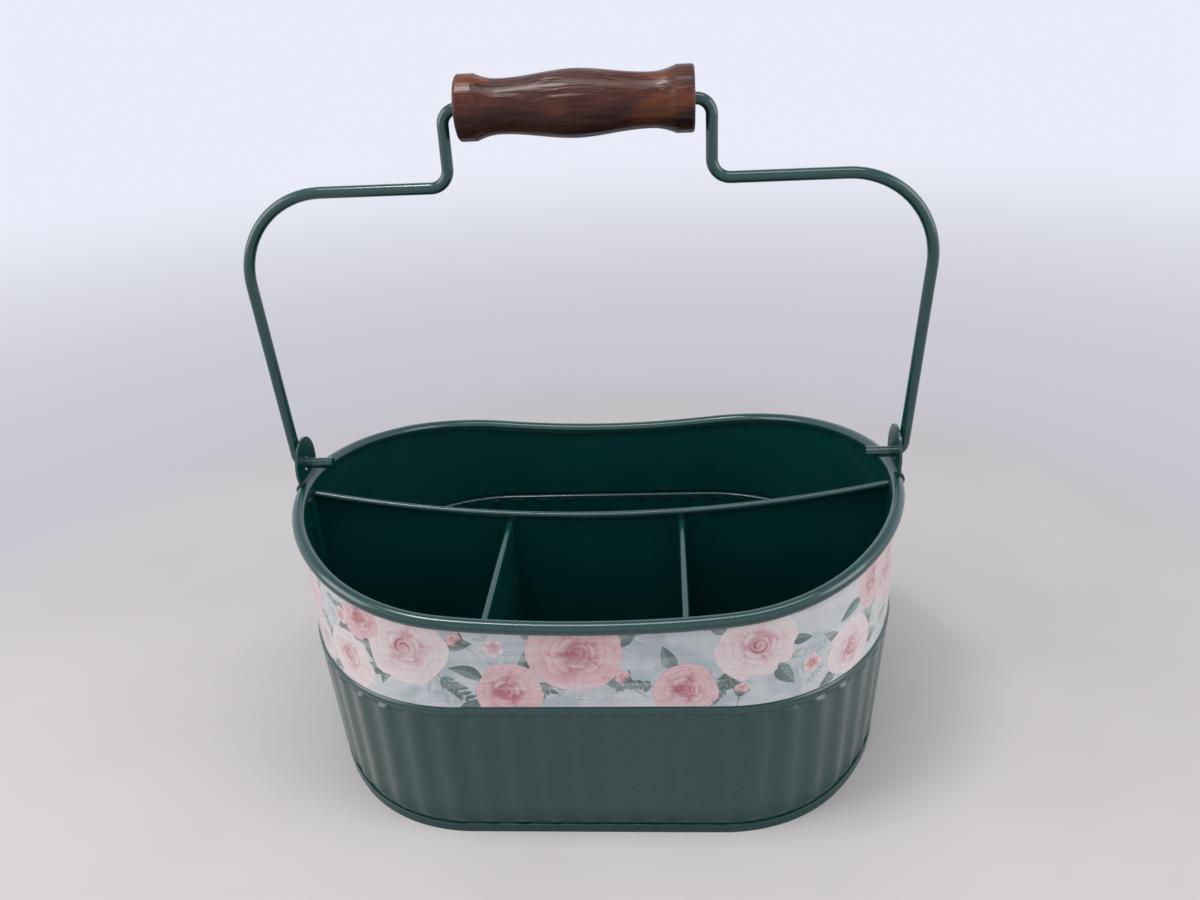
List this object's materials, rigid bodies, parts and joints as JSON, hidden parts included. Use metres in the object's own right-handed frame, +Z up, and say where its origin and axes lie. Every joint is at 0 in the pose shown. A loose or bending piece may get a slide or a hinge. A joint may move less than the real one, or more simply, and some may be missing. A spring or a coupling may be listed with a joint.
{
  "type": "divided cutlery caddy",
  "caption": "Oval painted sheet-metal caddy with a long rear cell, smaller front cells, a printed floral band, a ribbed skirt and a swinging wire bail with a turned wooden grip.",
  "frame": {"origin": "middle of the tub's footprint, on the surface that it stands on", "axes": "+Z up, +X to the right along the tub's length, +Y from the row of front cells towards the long rear cell"},
  "size_m": [0.2696, 0.1794, 0.2766],
  "materials": {
    "green_enamel": "gloss",
    "printed_film": null,
    "dark_wood": "lacquered"
  },
  "bodies": {
    "tub": {"tub_wall": "green_enamel", "base_panel": "green_enamel", "printed_band": "printed_film", "main_divider": "green_enamel", "cross_divider_left": "green_enamel", "cross_divider_right": "green_enamel", "ear_left": "green_enamel", "ear_right": "green_enamel"},
    "bail": {"bail_wire": "green_enamel"},
    "handle": {"grip": "dark_wood"}
  },
  "joints": [
    {"name": "bail_swing", "type": "hinge", "parent": "tub", "child": "bail", "pos_m": [0, 0, 0.12246], "axis": [1, 0, 0], "range_deg": [-110, 110]},
    {"name": "grip_spin", "type": "hinge", "parent": "bail", "child": "handle", "pos_m": [0, 0, 0.26456], "axis": [1, 0, 0], "continuous": true}
  ]
}
